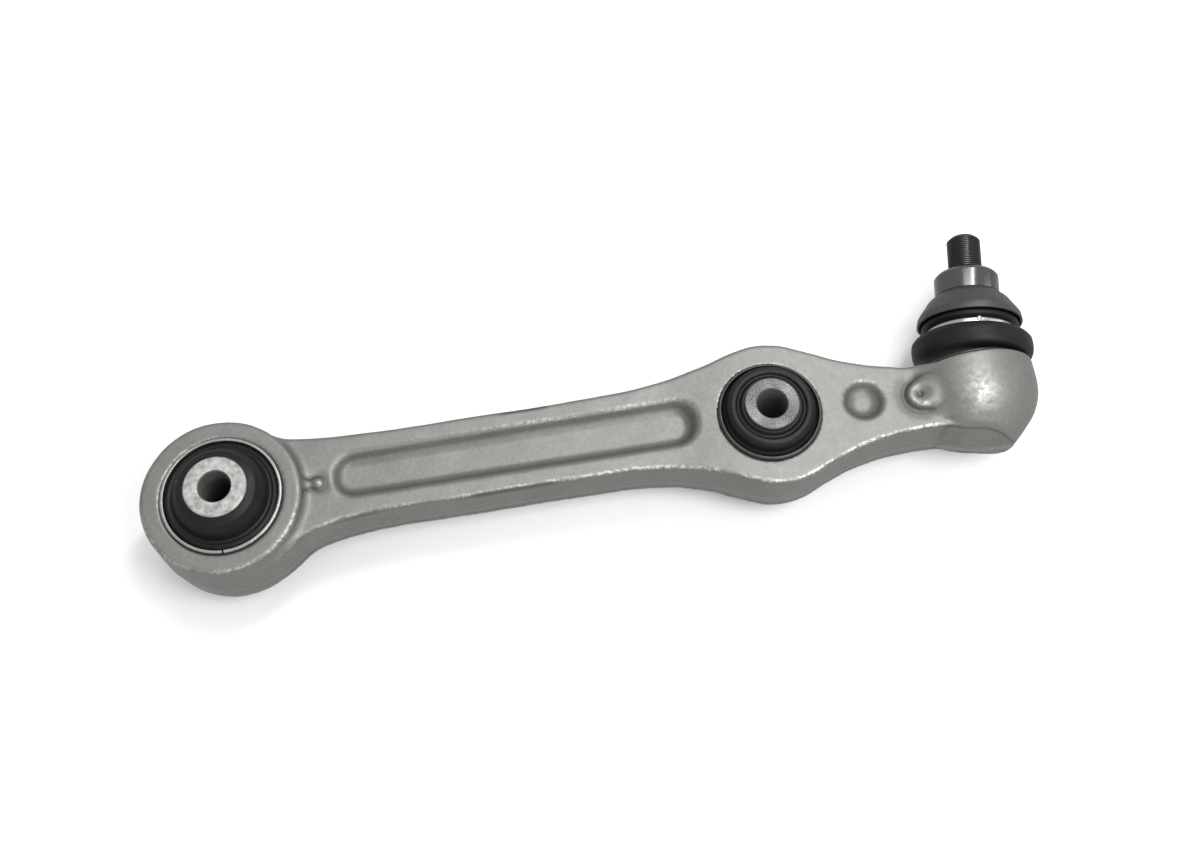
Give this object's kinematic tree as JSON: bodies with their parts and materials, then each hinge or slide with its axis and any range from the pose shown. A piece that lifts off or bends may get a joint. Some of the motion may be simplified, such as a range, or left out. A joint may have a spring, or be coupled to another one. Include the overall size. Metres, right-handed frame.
{
  "type": "suspension control arm",
  "caption": "Forged suspension control arm: pocketed beam, bonded bush at the inner end, second bonded bush along the beam and a booted ball joint with a threaded stud at the outer end.",
  "frame": {"origin": "centre of the inner bush bore, on the forging's parting plane", "axes": "+Z along both bush axes towards the front face, +X from the inner bush towards the ball joint, +Y the side on which the ball stud stands"},
  "size_m": [0.4208, 0.128, 0.065],
  "materials": {
    "forged_alloy": "shot-blasted satin forging, worn bright along the edges",
    "bush_shell_steel": "bright rolled steel",
    "bush_rubber": "satin black moulded rubber",
    "sleeve_steel": "bright grainy steel",
    "coated_shell_steel": "black coated steel with a worn bright lip",
    "turned_sleeve_steel": "fine turned face",
    "seat_plastic": "natural acetal",
    "ring_steel": "plain steel",
    "boot_rubber": "satin black moulded rubber",
    "bright_ring_steel": "bright steel",
    "stud_steel": "dark phosphated steel",
    "collar_steel": "machined dark steel",
    "shield_steel": "matte grey coated pressing with a bright lower rim"
  },
  "bodies": {
    "arm": {"arm_forging": "forged_alloy", "inner_bush_outer_sleeve": "bush_shell_steel", "inner_bush_rubber": "bush_rubber", "damper_bush_outer_sleeve": "coated_shell_steel", "damper_bush_rubber": "bush_rubber", "ball_seat": "seat_plastic", "seat_retaining_ring": "ring_steel", "boot_lower_clamp": "ring_steel"},
    "inner_sleeve": {"inner_bush_inner_sleeve": "sleeve_steel"},
    "damper_sleeve": {"damper_bush_inner_sleeve": "turned_sleeve_steel"},
    "boot_carrier": {"boot": "boot_rubber", "boot_waist_ring": "bright_ring_steel"},
    "boot_top": {"boot_upper_clamp": "ring_steel"},
    "stud": {"ball_stud": "stud_steel", "stud_collar": "collar_steel", "boot_shield": "shield_steel"}
  },
  "joints": [
    {"name": "inner_bush_twist", "type": "hinge", "parent": "arm", "child": "inner_sleeve", "pos_m": [0, 0, 0], "axis": [0, 0, 1], "range_deg": [-25, 25], "stiffness_Nm_per_rad": 60},
    {"name": "damper_bush_twist", "type": "hinge", "parent": "arm", "child": "damper_sleeve", "pos_m": [0.2505, 0.008, 0], "axis": [0, 0, 1], "range_deg": [-20, 20], "stiffness_Nm_per_rad": 45},
    {"name": "stud_swing", "type": "hinge", "parent": "arm", "child": "boot_carrier", "pos_m": [0.35, 0.002, 0], "axis": [0, 0, 1], "range_deg": [-12, 28], "deforming": ["boot"]},
    {"name": "stud_rock", "type": "hinge", "parent": "boot_carrier", "child": "boot_top", "pos_m": [0.35, 0.002, 0], "axis": [0.9893, -0.1461, 0], "range_deg": [-14, 8]},
    {"name": "stud_spin", "type": "hinge", "parent": "boot_top", "child": "stud", "pos_m": [0.35, 0.002, 0], "axis": [0.1457, 0.9869, 0.0698], "continuous": true}
  ]
}
